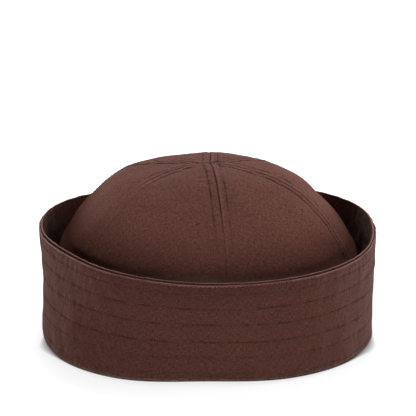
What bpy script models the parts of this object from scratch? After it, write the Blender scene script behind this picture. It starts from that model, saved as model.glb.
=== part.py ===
"""Sailor cap: a round crown of six panels inside a brim that is folded up all the way round.

The cap stands on the fold of its brim, as it would by itself.  +Z is up and -Y is the front.
Lengths are in metres.  A bearing is in degrees, counted anticlockwise from +X seen from above,
and a radius is measured from the crown's axis.

Pieces:
    brim_outer     the cloth that shows outside: wall, fold, and the short hem sewn inside the crown
    brim_facing    the cloth that lines the turned-up wall and rolls over its free edge
    crown_*        six wedge panels, sewn to each other and standing in the fold of the brim
"""

import math
from collections import namedtuple

import bmesh
import bpy

# ---------------------------------------------------------------- cloth and seams
PLY = 0.0010  # one layer of the brim's cotton canvas
PLY_GAP = 0.0006  # between the two layers of the brim's wall
CROWN_CLOTH = 0.0012
SEAM_GAP = 0.0005  # between two crown panels
SEAM_DIP = 0.0007  # how far a seam is pulled in from the fullness of its panels

# ---------------------------------------------------------------- brim
BrimRow = namedtuple("BrimRow", "bearing fold rim top")
BRIM_ROWS = (
    # fold: radius outside the fold.  rim: radius outside the free edge.  top: height of that edge.
    BrimRow(0, 0.1015, 0.1015, 0.0620),
    BrimRow(30, 0.1040, 0.1065, 0.0620),
    BrimRow(60, 0.1015, 0.1015, 0.0620),
    BrimRow(90, 0.0980, 0.0960, 0.0615),
    BrimRow(120, 0.1015, 0.0995, 0.0615),
    BrimRow(150, 0.1055, 0.1060, 0.0615),
    BrimRow(180, 0.0980, 0.0990, 0.0625),
    BrimRow(210, 0.1040, 0.0925, 0.0635),
    BrimRow(240, 0.1045, 0.0965, 0.0640),
    BrimRow(270, 0.0975, 0.0995, 0.0635),
    BrimRow(300, 0.1035, 0.1005, 0.0625),
    BrimRow(330, 0.1055, 0.1015, 0.0620),
)
FRONT_LIFT = 0.0027  # the fold arches up off the surface at the front
FRONT_LIFT_POWER = 3  # and comes down to it again within about 60 degrees
LIP_FLARE = 0.0012  # the free edge turns outwards a little
LIP_SHARE = 0.14  # over this share of the wall's height
FOLD_WIDTH = 0.0090  # across the fold, from the outer face to the hem's inner face
WALL_BEND = 0.0045  # outer radius of the fold's bend up into the wall
HEM_BEND = 0.0030  # and of its bend up into the hem, with a flat strip between the two to rest on
HEM_HEIGHT = 0.0125  # the hem inside the crown
HEM_LEAN = 0.0013  # it leans in with the crown that it is sewn to
EDGE_ROLL = PLY + PLY_GAP / 2  # outer radius of the facing where it rolls over the free edge
UNDER_ROLL = 0.0008  # the outer ply ends this far below the rolled end of the facing
FACING_END = 0.0012  # the facing ends this far above the fold's bend

# ---------------------------------------------------------------- crown
CrownRow = namedtuple("CrownRow", "reach right back left front")
CROWN_ROWS = (
    # reach: share of the radius at the foot.  The rest: height of the cloth there, at four sides.
    CrownRow(0.000, 0.1030, 0.1030, 0.1030, 0.1030),
    CrownRow(0.300, 0.1000, 0.1010, 0.0985, 0.1010),
    CrownRow(0.560, 0.0920, 0.0915, 0.0930, 0.0915),
    CrownRow(0.760, 0.0765, 0.0770, 0.0765, 0.0770),
    CrownRow(0.900, 0.0600, 0.0615, 0.0580, 0.0580),
    CrownRow(0.975, 0.0430, 0.0405, 0.0425, 0.0440),
    CrownRow(1.000, 0.0028, 0.0028, 0.0028, 0.0028),
)
CROWN_INSET = 0.0064  # from the fold's outer face in to the crown's foot
PRESSED_SHARE = 0.25  # where the brim leans in, it presses the crown in by this share of the lean
PRESSED_ROWS = (3, 6)  # between these crown rows
APEX_SHIFT = 0.0027  # the point where the seams meet lies this far to the right of the axis
TIP_REACH = 0.012  # each panel's point is cut short here, where its seams run together
FIRST_SEAM = -84  # bearing of the front seam, which runs a little to the right
PANEL_NAMES = ("front_right", "right", "back_right", "back_left", "left", "front_left")
PANEL_ANGLE = 360 / len(PANEL_NAMES)

# ---------------------------------------------------------------- mesh fineness
STEP = 6  # degrees of bearing from one section to the next
STATIONS = round(360 / STEP)
PANEL_COLUMNS = round(PANEL_ANGLE / STEP)
ROWS_PER_BAND = 2  # mesh rows for each band between two crown rows
BEND_STEPS = 3  # facets in each bend of the fold
ROLL_STEPS = 4  # facets in the rolled edge
WALL_SHARES = (0.22, 0.44, 0.66, 0.84, 0.93)  # sections between the fold's bend and the free edge

# ---------------------------------------------------------------- colours, roughness
BRIM_BROWN = (0.070, 0.030, 0.024, 1.0)
FACING_BROWN = (0.062, 0.027, 0.022, 1.0)
CROWN_BROWN = (0.090, 0.040, 0.031, 1.0)
CLOTH_ROUGHNESS = 0.9


def smooth_between(before, start, end, after, share):
    """Value on the smooth curve through four neighbouring rows, between the middle two."""
    slope_start = (end - before) / 2
    slope_end = (after - start) / 2
    s2 = share * share
    s3 = s2 * share
    rise = 3 * s2 - 2 * s3
    return (
        start * (1 - rise)
        + end * rise
        + slope_start * (s3 - 2 * s2 + share)
        + slope_end * (s3 - s2)
    )


def brim_value(column, bearing):
    """A column of BRIM_ROWS at any bearing, on a smooth closed curve through the rows."""
    values = [getattr(row, column) for row in BRIM_ROWS]
    place = (bearing % 360) / 360 * len(values)
    index = int(place)
    around = [values[(index + offset) % len(values)] for offset in (-1, 0, 1, 2)]
    return smooth_between(*around, place - index)


def front_lift(bearing):
    """Height of the fold's underside: nothing, but for the arch at the front."""
    return FRONT_LIFT * max(0.0, -math.sin(math.radians(bearing))) ** FRONT_LIFT_POWER


def four_sided(right, back, left, front, bearing):
    """A value given at the four sides, blended round the crown."""
    turn = math.radians(bearing)
    mean = (right + back + left + front) / 4
    oval = (right + left - back - front) / 4
    return (
        mean
        + (right - left) / 2 * math.cos(turn)
        + (back - front) / 2 * math.sin(turn)
        + oval * math.cos(2 * turn)
    )


def crown_column(column):
    """Smooth function of a column of CROWN_ROWS, by row number, from 0 at the apex."""
    values = [getattr(row, column) for row in CROWN_ROWS]
    mirror = -1 if column == "reach" else 1
    values = [mirror * values[1]] + values + [2 * values[-1] - values[-2]]

    def at(place):
        index = min(int(place), len(CROWN_ROWS) - 2)
        return smooth_between(*values[index : index + 4], place - index)

    return at


CROWN_CURVES = {column: crown_column(column) for column in CrownRow._fields}
CROWN_FOOT = len(CROWN_ROWS) - 1
MEAN_FOOT_RADIUS = sum(row.fold for row in BRIM_ROWS) / len(BRIM_ROWS) - CROWN_INSET


def place_at(bearing, radius, height, shift=0.0):
    """Point at a bearing, radius and height, moved along X by the shift."""
    turn = math.radians(bearing)
    return (radius * math.cos(turn) + shift, radius * math.sin(turn), height)


def pressed_in(bearing, place):
    """How far the leaning brim presses the crown's wall in."""
    lean = max(0.0, brim_value("fold", bearing) - brim_value("rim", bearing))
    first, last = PRESSED_ROWS
    share = min(1.0, max(0.0, (place - first) / (last - first)))
    return PRESSED_SHARE * lean * math.sin(math.pi * share) ** 2


def crown_radius(bearing, place):
    """Radius of the crown: round at the top, and the plan of the fold at the foot."""
    reach = CROWN_CURVES["reach"](place)
    foot = brim_value("fold", bearing) - CROWN_INSET
    round_to_plan = MEAN_FOOT_RADIUS + (foot - MEAN_FOOT_RADIUS) * reach**3
    return reach * round_to_plan - pressed_in(bearing, place)


def foot_share(place):
    """0 on the crown, rising to 1 at its foot over the last band of rows."""
    return max(0.0, place - (CROWN_FOOT - 1))


def crown_height(bearing, place):
    """Height of the crown's outer face.  Its foot follows the fold where the fold arches up."""
    sides = [CROWN_CURVES[column](place) for column in ("right", "back", "left", "front")]
    return four_sided(*sides, bearing) + front_lift(bearing) * foot_share(place)


def crown_point(bearing, place, dip=0.0):
    """Point of the crown's outer face, at a bearing and a row number that need not be whole.

    The dip of a seam fades out at the foot, where the crown is sewn flat to the brim.
    """
    reach = CROWN_CURVES["reach"](place)
    dip *= 1 - foot_share(place)
    radius = crown_radius(bearing, place) - dip * reach
    height = crown_height(bearing, place) - dip * (1 - reach)
    return place_at(bearing, radius, height, APEX_SHIFT * (1 - reach) ** 2)


def wall_point(bearing, share):
    """(radius, height) outside the brim's wall, from the fold's bend at share 0 to its edge at 1."""
    fold = brim_value("fold", bearing)
    rim = brim_value("rim", bearing)
    low = front_lift(bearing) + WALL_BEND
    top = brim_value("top", bearing)
    lip = LIP_FLARE * math.exp(-(((1 - share) / LIP_SHARE) ** 2))
    return (fold + (rim - fold) * share + lip, low + (top - low) * share)


def slant(bearing, share):
    """How many times further it is through the wall along the radius than straight through it."""
    radius, height = wall_point(bearing, share)
    beside, _ = wall_point(bearing + 1, share)
    below, height_below = wall_point(bearing, share - 0.05)
    turned = (beside - radius) / (radius * math.radians(1))
    lean = (radius - below) / (height - height_below)
    return math.sqrt(1 + turned**2 + lean**2)


def lining_point(bearing, share):
    """(radius, height) on the seen face of the facing, inside the wall."""
    radius, height = wall_point(bearing, share)
    return (radius - 2 * EDGE_ROLL * slant(bearing, share), height)


def wall_share_at(bearing, drop):
    """Share of the wall's height that lies this far below its free edge."""
    low = front_lift(bearing) + WALL_BEND
    return 1 - drop / (brim_value("top", bearing) - low)


def arc(radius, height, size, start, end, steps):
    """(radius, height) points along an arc of a section, between two angles in degrees."""
    points = []
    for step in range(steps + 1):
        turn = math.radians(start + (end - start) * step / steps)
        points.append((radius + size * math.cos(turn), height + size * math.sin(turn)))
    return points


def outer_section(bearing):
    """Outer face of brim_outer: down the hem, round the fold, and up the wall."""
    fold = brim_value("fold", bearing)
    lift = front_lift(bearing)
    hem = fold - FOLD_WIDTH
    points = [(hem - HEM_LEAN, lift + HEM_HEIGHT)]
    points += arc(hem + HEM_BEND, lift + HEM_BEND, HEM_BEND, 180, 270, BEND_STEPS)
    points += arc(fold - WALL_BEND, lift + WALL_BEND, WALL_BEND, 270, 360, BEND_STEPS)
    points += [wall_point(bearing, share) for share in WALL_SHARES]
    points.append(wall_point(bearing, wall_share_at(bearing, EDGE_ROLL + UNDER_ROLL)))
    return points


def facing_section(bearing):
    """Seen face of brim_facing: over the free edge from outside, and down inside the wall."""
    rim, top = wall_point(bearing, 1)
    inside, _ = lining_point(bearing, 1)
    middle = (rim + inside) / 2
    stretch = (rim - inside) / (2 * EDGE_ROLL)
    points = [
        (middle + (radius - middle) * stretch, height)
        for radius, height in arc(middle, top - EDGE_ROLL, EDGE_ROLL, 0, 180, ROLL_STEPS)
    ]
    end = FACING_END / (brim_value("top", bearing) - WALL_BEND)
    points += [lining_point(bearing, share) for share in (*reversed(WALL_SHARES), end)]
    return points


def new_object(name, mesh, colour, parent):
    """Object with its own cloth material, shaded smooth across its gentle bends."""
    material = bpy.data.materials.new(name)
    material.use_nodes = True
    shader = material.node_tree.nodes["Principled BSDF"]
    shader.inputs["Base Color"].default_value = colour
    shader.inputs["Roughness"].default_value = CLOTH_ROUGHNESS
    shader.inputs["Metallic"].default_value = 0.0
    mesh.materials.append(material)
    mesh.shade_smooth()
    mesh.set_sharp_from_angle(angle=math.radians(50))
    piece = bpy.data.objects.new(name, mesh)
    piece.parent = parent
    return piece


def give_thickness(piece, thickness):
    """Grow the open surface into cloth, away from the side that its faces point to."""
    solidify = piece.modifiers.new("cloth", "SOLIDIFY")
    solidify.thickness = thickness
    solidify.offset = -1
    solidify.use_even_offset = True
    solidify.use_rim = True


def grid_mesh(name, rows, closed):
    """Open surface through rows of points.  Closed joins the last row to the first."""
    mesh = bpy.data.meshes.new(name)
    work = bmesh.new()
    corners = [[work.verts.new(point) for point in row] for row in rows]
    last = len(rows) if closed else len(rows) - 1
    for index in range(last):
        here = corners[index]
        there = corners[(index + 1) % len(rows)]
        for spot in range(len(here) - 1):
            work.faces.new((here[spot], there[spot], there[spot + 1], here[spot + 1]))
    work.to_mesh(mesh)
    work.free()
    return mesh


def ring_of_sections(name, section, colour, parent):
    """A band of cloth that runs right round the cap, lofted through one section a station."""
    rows = []
    for station in range(STATIONS):
        bearing = station * STEP
        rows.append([place_at(bearing, radius, height) for radius, height in section(bearing)])
    piece = new_object(name, grid_mesh(name, rows, closed=True), colour, parent)
    give_thickness(piece, PLY)
    return piece


def crown_panel(index, parent):
    """One wedge of the crown, from its foot in the fold up to its point at the apex."""
    first = FIRST_SEAM + index * PANEL_ANGLE
    places = [step / ROWS_PER_BAND for step in range(1, CROWN_FOOT * ROWS_PER_BAND + 1)]
    places = [TIP_REACH / CROWN_ROWS[1].reach] + places
    rows = []
    for place in reversed(places):
        row = []
        for column in range(PANEL_COLUMNS + 1):
            bearing = first + column * STEP
            at_seam = column in (0, PANEL_COLUMNS)
            if at_seam:
                radius = crown_radius(bearing, place)
                inward = math.degrees(math.asin(SEAM_GAP / 2 / radius))
                bearing += inward if column == 0 else -inward
            row.append(crown_point(bearing, place, SEAM_DIP if at_seam else 0.0))
        rows.append(row)
    name = "crown_" + PANEL_NAMES[index]
    mesh = grid_mesh(name, rows, closed=False)
    mesh.flip_normals()
    piece = new_object(name, mesh, CROWN_BROWN, parent)
    give_thickness(piece, CROWN_CLOTH)
    return piece


def centre_of_plan():
    """Middle of the brim's outline from above, so that the cap can stand on the origin."""
    outline = []
    for station in range(STATIONS):
        bearing = station * STEP
        radius = max(point[0] for point in outer_section(bearing) + facing_section(bearing))
        outline.append(place_at(bearing, radius, 0))
    sides = [(min(axis), max(axis)) for axis in zip(*outline)]
    return [(low + high) / 2 for low, high in sides]


def build_cap():
    """All the pieces, under one empty that stands the cap on the origin."""
    for old in list(bpy.data.objects):
        bpy.data.objects.remove(old, do_unlink=True)
    parts = bpy.data.collections.new("sailor_cap")
    bpy.context.scene.collection.children.link(parts)

    stand = bpy.data.objects.new("sailor_cap_centre", None)
    centre_x, centre_y, _ = centre_of_plan()
    stand.location = (-centre_x, -centre_y, 0)

    pieces = [
        ring_of_sections("brim_outer", outer_section, BRIM_BROWN, stand),
        ring_of_sections("brim_facing", facing_section, FACING_BROWN, stand),
    ]
    pieces += [crown_panel(index, stand) for index in range(len(PANEL_NAMES))]
    for piece in [stand] + pieces:
        parts.objects.link(piece)
    return pieces


build_cap()
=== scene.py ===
# %% [markdown]
# # A sailor cap in brown cotton canvas
# The cap is a dome of six wedge panels that stands inside a tall brim.  The brim is a band of double
# canvas, turned up all the way round and sewn flat with rows of stitches.  The construction is
# already fixed at its real size, so this lesson only makes what the eye sees: the cloth with its
# folds and puckers, every stitch, the woven surface, and the light.
#
# Lengths are in metres.  A bearing is in degrees, anticlockwise from +X seen from above, -Y is the
# front, and a radius is measured from the crown's axis.

# %% Load the fixed frame
import math
from collections import namedtuple

import bpy
import numpy as np
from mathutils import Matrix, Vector


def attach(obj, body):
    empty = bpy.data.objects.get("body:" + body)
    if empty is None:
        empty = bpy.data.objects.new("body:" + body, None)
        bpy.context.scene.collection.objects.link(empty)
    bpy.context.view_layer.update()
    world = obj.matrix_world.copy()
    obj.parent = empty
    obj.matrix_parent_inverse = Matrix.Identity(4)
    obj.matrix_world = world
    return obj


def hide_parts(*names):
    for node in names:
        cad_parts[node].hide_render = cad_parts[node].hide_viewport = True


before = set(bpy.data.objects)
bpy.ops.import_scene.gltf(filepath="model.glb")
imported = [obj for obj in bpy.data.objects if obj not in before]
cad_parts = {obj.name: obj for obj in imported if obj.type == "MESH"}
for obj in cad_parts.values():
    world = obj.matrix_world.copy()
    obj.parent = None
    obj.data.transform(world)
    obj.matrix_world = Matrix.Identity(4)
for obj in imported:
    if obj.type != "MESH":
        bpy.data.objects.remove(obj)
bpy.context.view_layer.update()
print("nodes:", ", ".join(sorted(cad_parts)))

# %% [markdown]
# ## The shape of the cap, from two short tables
# A soft hat has no exact outline, but it has a smooth one.  A few measured rows and a smooth curve
# through them give that, and they are the rows that the solid parts were made from, so the cloth
# lands where the solids are.  The curve is the same cubic that animators use between keyframes: it
# passes through each row, and its slope there is the slope between the two neighbours.

# %% The tables
BrimRow = namedtuple("BrimRow", "bearing fold rim top")
BRIM_ROWS = (
    # fold: radius outside the fold.  rim: radius outside the free edge.  top: height of that edge.
    BrimRow(0, 0.1015, 0.1015, 0.0620),
    BrimRow(30, 0.1040, 0.1065, 0.0620),
    BrimRow(60, 0.1015, 0.1015, 0.0620),
    BrimRow(90, 0.0980, 0.0960, 0.0615),
    BrimRow(120, 0.1015, 0.0995, 0.0615),
    BrimRow(150, 0.1055, 0.1060, 0.0615),
    BrimRow(180, 0.0980, 0.0990, 0.0625),
    BrimRow(210, 0.1040, 0.0925, 0.0635),
    BrimRow(240, 0.1045, 0.0965, 0.0640),
    BrimRow(270, 0.0975, 0.0995, 0.0635),
    BrimRow(300, 0.1035, 0.1005, 0.0625),
    BrimRow(330, 0.1055, 0.1015, 0.0620),
)
CrownRow = namedtuple("CrownRow", "reach right back left front")
CROWN_ROWS = (
    # reach: share of the radius at the foot.  The rest: height of the cloth there, at four sides.
    CrownRow(0.000, 0.1030, 0.1030, 0.1030, 0.1030),
    CrownRow(0.300, 0.1000, 0.1010, 0.0985, 0.1010),
    CrownRow(0.560, 0.0920, 0.0915, 0.0930, 0.0915),
    CrownRow(0.760, 0.0765, 0.0770, 0.0765, 0.0770),
    CrownRow(0.900, 0.0600, 0.0615, 0.0580, 0.0580),
    CrownRow(0.975, 0.0430, 0.0405, 0.0425, 0.0440),
    CrownRow(1.000, 0.0028, 0.0028, 0.0028, 0.0028),
)
print(f"rows: {len(BRIM_ROWS)} for the brim and {len(CROWN_ROWS)} for the crown")

# %% Smooth curves through the rows
def smooth_through(values, index, share):
    """Value between values[index] and the next one, on a smooth curve through all of them."""
    before, start, end, after = (values[index + step] for step in (-1, 0, 1, 2))
    rise = 3 * share**2 - 2 * share**3
    return (
        start * (1 - rise)
        + end * rise
        + (end - before) / 2 * (share**3 - 2 * share**2 + share)
        + (after - start) / 2 * (share**3 - share**2)
    )


def brim_value(column, bearing):
    """A column of BRIM_ROWS at any bearing.  The curve closes on itself."""
    values = [getattr(row, column) for row in BRIM_ROWS]
    values = np.array(values[-1:] + values + values[:2])
    place = np.asarray(bearing) % 360 / 360 * len(BRIM_ROWS)
    index = np.floor(place).astype(int)
    return smooth_through(values, index + 1, place - index)


def crown_value(column, place):
    """A column of CROWN_ROWS at a row number that need not be whole, counted from the apex."""
    values = [getattr(row, column) for row in CROWN_ROWS]
    mirror = -1 if column == "reach" else 1
    values = np.array([mirror * values[1]] + values + [2 * values[-1] - values[-2]])
    index = np.clip(np.floor(place).astype(int), 0, len(CROWN_ROWS) - 2)
    return smooth_through(values, index + 1, place - index)


print("brim height at the front, mm:", round(1000 * float(brim_value("top", 270)), 1))

# %% [markdown]
# ## The brim's section
# Cut through the brim, and one layer of canvas goes down the short hem inside the crown, round the
# fold that the cap stands on, and up the wall.  A second layer, the facing, lines the wall and rolls
# over its free edge.  The functions below give points of the wall in terms of the share of its
# height, at one bearing or at many at once.

# %% Wall and fold
FRONT_LIFT = 0.0020  # the fold arches up off the surface at the front
FRONT_LIFT_POWER = 3
LIP_FLARE = 0.0012  # the free edge turns outwards a little
LIP_SHARE = 0.14  # over this share of the wall's height
FOLD_WIDTH = 0.0090  # across the fold, from the wall's outer face to the hem's inner face
WALL_BEND = 0.0045  # outer radius of the fold's bend up into the wall
HEM_BEND = 0.0030  # and of its bend up into the hem
HEM_HEIGHT = 0.0125
HEM_LEAN = 0.0013  # the hem leans in with the crown that it is sewn to
PLY = 0.0010  # one layer of canvas
WALL_THICKNESS = 0.0026  # through both layers of the wall


def bump(distance, width):
    """1 at no distance, falling smoothly to 0 over about twice the width."""
    return np.exp(-((distance / width) ** 2))


def front_lift(bearing):
    """Height of the fold's underside: nothing, but for the arch at the front."""
    return FRONT_LIFT * np.maximum(0, -np.sin(np.radians(bearing))) ** FRONT_LIFT_POWER


def wall_point(bearing, share):
    """Radius and height outside the wall, from the fold's bend at share 0 to the edge at 1."""
    fold, rim, top = (brim_value(column, bearing) for column in ("fold", "rim", "top"))
    low = front_lift(bearing) + WALL_BEND
    lip = LIP_FLARE * bump(1 - share, LIP_SHARE)
    return fold + (rim - fold) * share + lip, low + (top - low) * share


def share_at(bearing, drop):
    """Share of the wall's height that lies this far below the free edge."""
    return 1 - drop / (brim_value("top", bearing) - front_lift(bearing) - WALL_BEND)


def place_at(bearing, radius, height, shift=0.0):
    """Points at bearings, radii and heights, as an array that ends in x, y, z."""
    turn = np.radians(bearing)
    height = height + 0 * turn
    return np.stack([radius * np.cos(turn) + shift, radius * np.sin(turn) + 0 * height, height], -1)


outline = [place_at(np.arange(360), *wall_point(np.arange(360), share)) for share in (0, 0.5, 1)]
outline = np.concatenate(outline)
PLAN_CENTRE = (outline.min(0) + outline.max(0)) / 2 * (1, 1, 0)
print("middle of the plan from the crown's axis, mm:", (1000 * PLAN_CENTRE[:2]).round(2))

# %% [markdown]
# ## Random but repeatable
# Cloth is never quite even, and each small unevenness needs its own smooth noise.  A sum of a few
# sine waves in random directions is the simplest: the generator's seed fixes the directions, so the
# cap comes out the same each time, and waves through space have no join where a ring closes.

# %% Smooth random waves
WAVES = 20
WAVE_RATES = (0.7, 1.4)  # the slowest and the fastest wave, in times the rate for the size
Ripple = namedtuple("Ripple", "height size seed")  # the tallest bumps reach three times the height


def ripples(points, ripple, step=0, stretch=(1, 1, 1)):
    """Smooth noise at an array of points, and another one of the same kind for each step."""
    random = np.random.default_rng(ripple.seed + step)
    total = 0
    for _ in range(WAVES):
        direction = random.normal(size=3)
        direction *= np.array(stretch) * random.uniform(*WAVE_RATES) / np.linalg.norm(direction)
        phase = random.uniform(0, 2 * math.pi)
        total = total + np.sin(points @ direction * math.pi / ripple.size + phase)
    return ripple.height * (total / math.sqrt(WAVES / 2))


sample = ripples(outline, Ripple(height=1.0, size=0.01, seed=0))
print(f"ripples of height 1 on a sample of points: {sample.min():.2f} to {sample.max():.2f}")

# %% [markdown]
# ## A closed piece of cloth from a grid of points
# Each piece of cloth is a closed body with two faces, a front that is seen and a back.  For a band
# that runs right round the cap, the grid is a ring of loops: each loop goes up the front of the
# cloth and down its back.  A panel is a stack of loops with its two ends closed.  The map that goes
# with the grid is the flat cloth in metres, so the weave keeps its scale, and each corner of a face
# has its own value there, because the map must not run backwards where the ring closes.  A second
# value at each point tells the materials where to paint shade, in grooves and where the fold meets
# the table, and where to paint the cloth pale, partly rubbed wear and partly painted highlight and
# light.

# %% Mesh helpers
def add_object(name, data):
    """New object in the scene, from its mesh, lamp or camera."""
    made = bpy.data.objects.new(name, data)
    bpy.context.scene.collection.objects.link(made)
    return made


def new_mesh(name, points, faces=()):
    """Mesh from an array of points and a list of faces."""
    mesh = bpy.data.meshes.new(name)
    mesh.from_pydata(points.reshape(-1, 3).tolist(), [], faces)
    return mesh


def store(mesh, name, values, kind="FLOAT", field="value"):
    """Gives each point of a mesh its own number or vector, for node trees to read by its name."""
    made = mesh.attributes.new(name, kind, "POINT")
    made.data.foreach_set(field, values.astype(np.float32).ravel())


def cloth_mesh(name, points, flat, ring, shade_and_wear):
    """Object from loops of points.  A ring closes on itself, and a stack has its ends filled.

    The stored value paints shade above 0, in grooves and at the fold, and pale wear and light below 0.
    """
    loops, spots = points.shape[:2]
    steps = loops if ring else loops - 1
    here, spot = np.meshgrid(np.arange(steps), np.arange(spots), indexing="ij")
    there, beside = (here + 1) % loops, (spot + 1) % spots
    corners = np.stack([here * spots + spot, there * spots + spot, there * spots + beside,
                        here * spots + beside], -1).reshape(-1, 4)
    flat_corners = np.stack([flat[here, spot], flat[here + 1, spot], flat[here + 1, spot + 1],
                             flat[here, spot + 1]], -2).reshape(-1, 4, 2)
    if not ring:
        half = spots // 2
        front = np.arange(half - 1)
        back = spots - 1 - front
        end = np.stack([front, front + 1, back - 1, back], -1)
        last = (loops - 1) * spots
        corners = np.concatenate([corners, end, (end + last)[:, ::-1]])
        flat_corners = np.concatenate([flat_corners, flat[0][end], flat[-1][end[:, ::-1]]])
    mesh = new_mesh(name, points, corners.tolist())
    mesh.uv_layers.new(name="flat_cloth").uv.foreach_set("vector", flat_corners.ravel())
    store(mesh, "shade_and_wear", shade_and_wear)
    mesh.shade_smooth()
    print(f"{name}: {2 * len(corners)} triangles")
    return add_object(name, mesh)


# %% [markdown]
# ## Where the stitches run
# Six rows run round the wall about 10 mm apart, and one more sews down the free edge.  On the real
# cap a machine makes them freehand, so each row wanders a little.  The wall's mesh follows the rows:
# it has lines of points on each row, more of them close by and fewer in the middle of a channel,
# because that is where the cloth turns in to the thread.

# %% Rows of stitches round the brim
Row = namedtuple("Row", "drop shows")  # distance below the free edge, and how deep it is pulled in
ROWS = (
    Row(0.0076, 0.70),
    Row(0.0167, 1.00),
    Row(0.0264, 1.00),
    Row(0.0367, 0.90),
    Row(0.0459, 0.75),
    Row(0.0560, 0.40),
)
EDGE_ROW = Row(0.0028, 1.00)
OUTER_EDGE_DROP = 0.0020  # the outer layer is turned in here, below the facing's rolled edge
WANDER = Ripple(height=0.00022, size=0.040, seed=10)
STITCHES_ROUND = 240
COLUMNS_PER_STITCH = 3
COLUMNS = STITCHES_ROUND * COLUMNS_PER_STITCH
CHANNEL_LINES = 11
EDGE_LINES = 4  # lines of points from the edge down to the row that sews it
CROWDING = 0.72  # how closely the lines of points gather at the rows: 0 is evenly

bearings = np.arange(COLUMNS) * 360 / COLUMNS
around = bearings[:, None]  # the same as a column, for sections with a row of points at each
mean_radius = float(brim_value("fold", bearings).mean())
girth = 2 * math.pi * mean_radius


def row_drop(row, bearing):
    """Distance of a row of stitches below the free edge, at any bearing."""
    ring = place_at(bearing, mean_radius, 0.0)
    return ROWS[row].drop + ripples(ring, WANDER, row)


def drops_down_wall(top_drop, end_gap, lines):
    """Lines of points down the wall, gathered at the rows, as an array of columns by lines."""
    knots = [np.full(COLUMNS, top_drop), np.full(COLUMNS, EDGE_ROW.drop)]
    knots += [row_drop(row, bearings) for row in range(len(ROWS))]
    knots.append(brim_value("top", bearings) - front_lift(bearings) - WALL_BEND - end_gap)
    channels = []
    for above, below in zip(knots, knots[1:]):
        count = lines if len(channels) else EDGE_LINES
        share = np.arange(count) / count
        share = share - CROWDING * np.sin(2 * math.pi * share) / (2 * math.pi)
        channels.append(above[:, None] + (below - above)[:, None] * share)
    return np.concatenate(channels + [knots[-1][:, None]], axis=1)


print(f"stitches: {STITCHES_ROUND} a row, {1000 * girth / STITCHES_ROUND:.2f} mm apart")

# %% [markdown]
# ## How thread shapes canvas
# A row of lockstitch pulls two layers together, so the cloth dips into a narrow groove, deepest at
# the needle holes.  Between two rows the cloth is free and puffs out slightly.  The thread also
# takes up a little length, and the spare cloth stands in short puckers across the row.  No row is
# pulled equally tight all the way, so the dark line of a row comes and goes.  On top of that the
# whole wall bends in slow waves, because the cap has been handled, and both layers follow those.
# The result is one number for each point, the distance that it moves along the cloth's normal, and
# another that says how deep in a groove it lies, which also paints shade into the groove.

# %% Relief of the sewn wall
Groove = namedtuple("Groove", "depth width hole")
ROW_GROOVE = Groove(depth=0.00028, width=0.00034, hole=0.40)
TENSION_MEAN = 0.85
TENSION = Ripple(height=0.35, size=0.0050, seed=40)
TENSION_LIMITS = (0.05, 1.20)
PUFF = 0.00016
PUCKERS = Ripple(height=0.00013, size=0.0028, seed=46)
PUCKER_REACH = 0.0030
PUCKER_STRETCH = (1, 1, 0.35)  # puckers stand, so they change slowly from top to bottom
SLACK = Ripple(height=0.00016, size=0.0080, seed=42)
WAVE = Ripple(height=0.00035, size=0.030, seed=31)
FAR = 1.0  # further from any row than a point of the cap can be


def tension(points):
    """How tight the thread is pulled at these points: 1 is firmly, and 0 leaves the cloth flat."""
    return np.clip(TENSION_MEAN + ripples(points, TENSION), *TENSION_LIMITS)


def slow_waves(points, side):
    """Relief of the whole wall, which all its layers share.  The side is 1 outside, -1 inside."""
    return side * ripples(points, WAVE)


def sewn_relief(points, bearing, drops, side):
    """(relief, depth in a groove) of points of the wall, on its outside or its inside."""
    column = np.rint(np.asarray(bearing) / 360 * COLUMNS).astype(int)
    relief = slow_waves(points, side) + ripples(points, SLACK, side)
    groove = np.zeros_like(drops)
    nearest = np.full_like(drops, FAR)
    pull = tension(points)
    rows = [(row_drop(row, bearing), ROWS[row].shows) for row in range(len(ROWS))] + [EDGE_ROW]
    for row, (drop, shows) in enumerate(rows):
        away = np.abs(drops - drop)
        nearest = np.minimum(nearest, away)
        at_hole = (column + row) % COLUMNS_PER_STITCH == 0
        depth = shows * pull * np.where(at_hole, 1.0, 1 - ROW_GROOVE.hole)
        groove = np.maximum(groove, depth * bump(away, ROW_GROOVE.width))
    near = bump(nearest, PUCKER_REACH)
    puckers = ripples(points, PUCKERS, side, PUCKER_STRETCH)
    return relief + PUFF * (1 - near) + puckers * near - ROW_GROOVE.depth * groove, groove


second_row = row_drop(1, bearings)
sample = place_at(bearings, *wall_point(bearings, share_at(bearings, second_row)))
dips, _ = sewn_relief(sample, bearings, second_row, side=1)
print(f"relief along the second row: {1000 * dips.min():.2f} to {1000 * dips.max():.2f} mm")

# %% [markdown]
# ## The outer layer of the brim
# It could be a cylinder with a modifier for each effect, but then the fold, the hem and the wall
# would have to be matched up again.  Working out the whole section at each of 720 bearings keeps
# them one piece of cloth, as they are on the cap.  Its free edge is turned in, rounded and painted
# pale, partly wear and partly painted highlight, and the fold has painted contact shade at the table.

# %% From sections to a band of cloth
def unit(vectors):
    """The same vectors, each made one long."""
    return vectors / np.linalg.norm(vectors, axis=-1, keepdims=True)


def right_of_section(radius, height):
    """Unit normals of section lines, to the right of the way that the points run."""
    along = unit(np.gradient(np.stack([radius, height], -1), axis=1))
    return along[..., 1], -along[..., 0]


def both_faces(radius, height, face_relief, back_relief, shade_and_wear, back_lines):
    """Loops of points from the front of a cloth and its back, each with its own relief.

    The section runs so that the front of the cloth is on its right.  The back shares only the slow
    waves, and they keep it under the front everywhere.
    """
    out_r, out_z = right_of_section(radius, height)
    front = np.stack([radius + face_relief * out_r, height + face_relief * out_z], -1)
    kept = np.unique(np.linspace(0, radius.shape[1] - 1, back_lines).astype(int))[::-1]
    depth = PLY - back_relief
    back = np.stack([radius - depth * out_r, height - depth * out_z], -1)[:, kept]
    shades_and_wear = np.concatenate([shade_and_wear, np.zeros((len(shade_and_wear), len(kept)))], axis=1)
    return np.concatenate([front, back], axis=1), kept, shades_and_wear


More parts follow.
